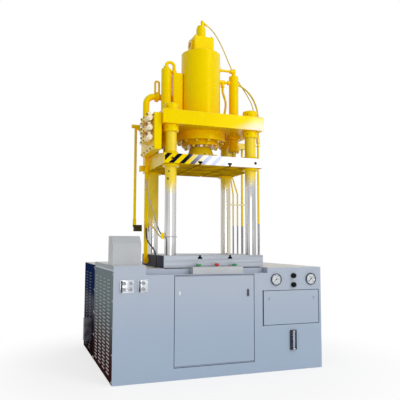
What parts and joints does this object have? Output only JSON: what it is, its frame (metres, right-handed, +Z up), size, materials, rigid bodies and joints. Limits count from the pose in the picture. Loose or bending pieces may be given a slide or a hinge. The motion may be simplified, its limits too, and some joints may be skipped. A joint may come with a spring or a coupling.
{
  "type": "hydraulic press",
  "caption": "Four-column hydraulic press with a top cylinder, a moving slide, a tee-slotted bed and a grey sheet-metal cabinet with gauges and doors.",
  "frame": {"origin": "on the floor under the press axis, the underside of the pedestal", "axes": "+X to the right seen from the front, +Y to the back, +Z up along the press axis"},
  "size_m": [1.964, 1.726, 3.258],
  "materials": {
    "press_yellow": "satin gloss enamel",
    "cabinet_grey": "semi-gloss enamel",
    "frame_grey": "matt primer grey",
    "column_chrome": "polished hard chrome",
    "machined_steel": "ground and lightly oiled",
    "dark_steel": "blackened",
    "valve_black": "satin black",
    "hose_rubber": "matt yellow cover",
    "line_rubber": "matt",
    "gauge_metal": "bright bezel",
    "needle_black": "matt black",
    "knob_black": "matt moulded",
    "motor_grey": "painted casting",
    "button_green": "gloss moulded",
    "button_red": "gloss moulded",
    "level_body": "satin"
  },
  "bodies": {
    "press_frame": {"base_frame": "frame_grey", "bolster": "machined_steel", "front_columns": "column_chrome", "rear_columns": "column_chrome", "column_nuts": "press_yellow", "crown": "press_yellow", "main_cylinder": "press_yellow", "gland_flange": "press_yellow", "prefill_block": "press_yellow", "pilot_valve": "press_yellow", "kicker_cylinder_left": "press_yellow", "kicker_cylinder_right": "press_yellow", "side_block": "press_yellow", "link_pipes": "press_yellow", "feed_pipe": "press_yellow", "valve_manifold": "press_yellow", "solenoid_valves": "valve_black", "riser_pipes": "press_yellow", "pipe_clamps": "press_yellow", "stroke_sensor": "press_yellow", "switch_bar": "press_yellow", "ejector_cylinder": "frame_grey", "cabinet_frame": "cabinet_grey", "cabinet_top": "cabinet_grey", "front_panel": "cabinet_grey", "left_front_vents": "cabinet_grey", "left_rear_vents": "cabinet_grey", "rear_shell": "cabinet_grey", "gauge_cases": "gauge_metal", "level_gauge": "level_body", "oil_tank": "frame_grey", "motor": "motor_grey", "pump": "motor_grey", "control_box": "cabinet_grey", "two_hand_bar": "cabinet_grey", "power_inlet": "cabinet_grey", "pilot_hose": "hose_rubber", "kicker_hose": "hose_rubber", "side_hose": "hose_rubber", "hose_fittings": "press_yellow", "control_lines": "line_rubber"},
    "press_slide": {"slide": "press_yellow", "guide_bushes": "press_yellow", "striker_plate": "press_yellow", "main_ram": "column_chrome", "ram_flange": "press_yellow", "kicker_rod_left": "column_chrome", "kicker_rod_right": "column_chrome"},
    "ejector": {"ejector_rod": "column_chrome"},
    "door": {"front_door": "cabinet_grey"},
    "door_latch": {"door_lock": "machined_steel"},
    "hatch": {"hatch_door": "cabinet_grey"},
    "left_needle": {"needle_left": "needle_black"},
    "right_needle": {"needle_right": "needle_black"},
    "upper_regulator_knob": {"upper_knob": "knob_black"},
    "lower_regulator_knob": {"lower_knob": "knob_black"},
    "shaft_coupling": {"coupling": "dark_steel"},
    "left_palm_button": {"palm_button_left": "button_green"},
    "right_palm_button": {"palm_button_right": "button_green"},
    "stop_push": {"stop_button": "button_red"}
  },
  "joints": [
    {"name": "slide_travel", "type": "slide", "parent": "press_frame", "child": "press_slide", "axis": [0, 0, -1], "range_m": [0, 0.5]},
    {"name": "ejector_travel", "type": "slide", "parent": "press_frame", "child": "ejector", "axis": [0, 0, 1], "range_m": [0, 0.12]},
    {"name": "door_swing", "type": "hinge", "parent": "press_frame", "child": "door", "pos_m": [-0.388, -0.474, 0.4685], "axis": [0, 0, -1], "range_deg": [0, 110]},
    {"name": "door_lock_turn", "type": "hinge", "parent": "door", "child": "door_latch", "pos_m": [0.264, -0.48, 0.706], "axis": [0, -1, 0], "range_deg": [0, 90]},
    {"name": "hatch_drop", "type": "hinge", "parent": "press_frame", "child": "hatch", "pos_m": [0.689, -0.474, 0.403], "axis": [1, 0, 0], "range_deg": [0, 90]},
    {"name": "needle_left_turn", "type": "hinge", "parent": "press_frame", "child": "left_needle", "pos_m": [0.536, -0.48, 0.787], "axis": [0, 1, 0], "range_deg": [0, 270]},
    {"name": "needle_right_turn", "type": "hinge", "parent": "press_frame", "child": "right_needle", "pos_m": [0.887, -0.48, 0.787], "axis": [0, 1, 0], "range_deg": [0, 270]},
    {"name": "upper_knob_turn", "type": "hinge", "parent": "press_frame", "child": "upper_regulator_knob", "pos_m": [0.707, -0.48, 0.819], "axis": [0, -1, 0], "range_deg": [-150, 150]},
    {"name": "lower_knob_turn", "type": "hinge", "parent": "press_frame", "child": "lower_regulator_knob", "pos_m": [0.707, -0.48, 0.739], "axis": [0, -1, 0], "range_deg": [-150, 150]},
    {"name": "coupling_spin", "type": "hinge", "parent": "press_frame", "child": "shaft_coupling", "pos_m": [-0.69, 0.2, 0.2], "axis": [0, -1, 0], "continuous": true},
    {"name": "palm_left_press", "type": "slide", "parent": "press_frame", "child": "left_palm_button", "axis": [0, 0, -1], "range_m": [0, 0.005], "stiffness_N_per_m": 400, "springref_m": -0.005},
    {"name": "palm_right_press", "type": "slide", "parent": "press_frame", "child": "right_palm_button", "axis": [0, 0, -1], "range_m": [0, 0.005], "stiffness_N_per_m": 400, "springref_m": -0.005},
    {"name": "stop_press", "type": "slide", "parent": "press_frame", "child": "stop_push", "axis": [0, 0, -1], "range_m": [0, 0.004], "stiffness_N_per_m": 400, "springref_m": -0.005}
  ]
}
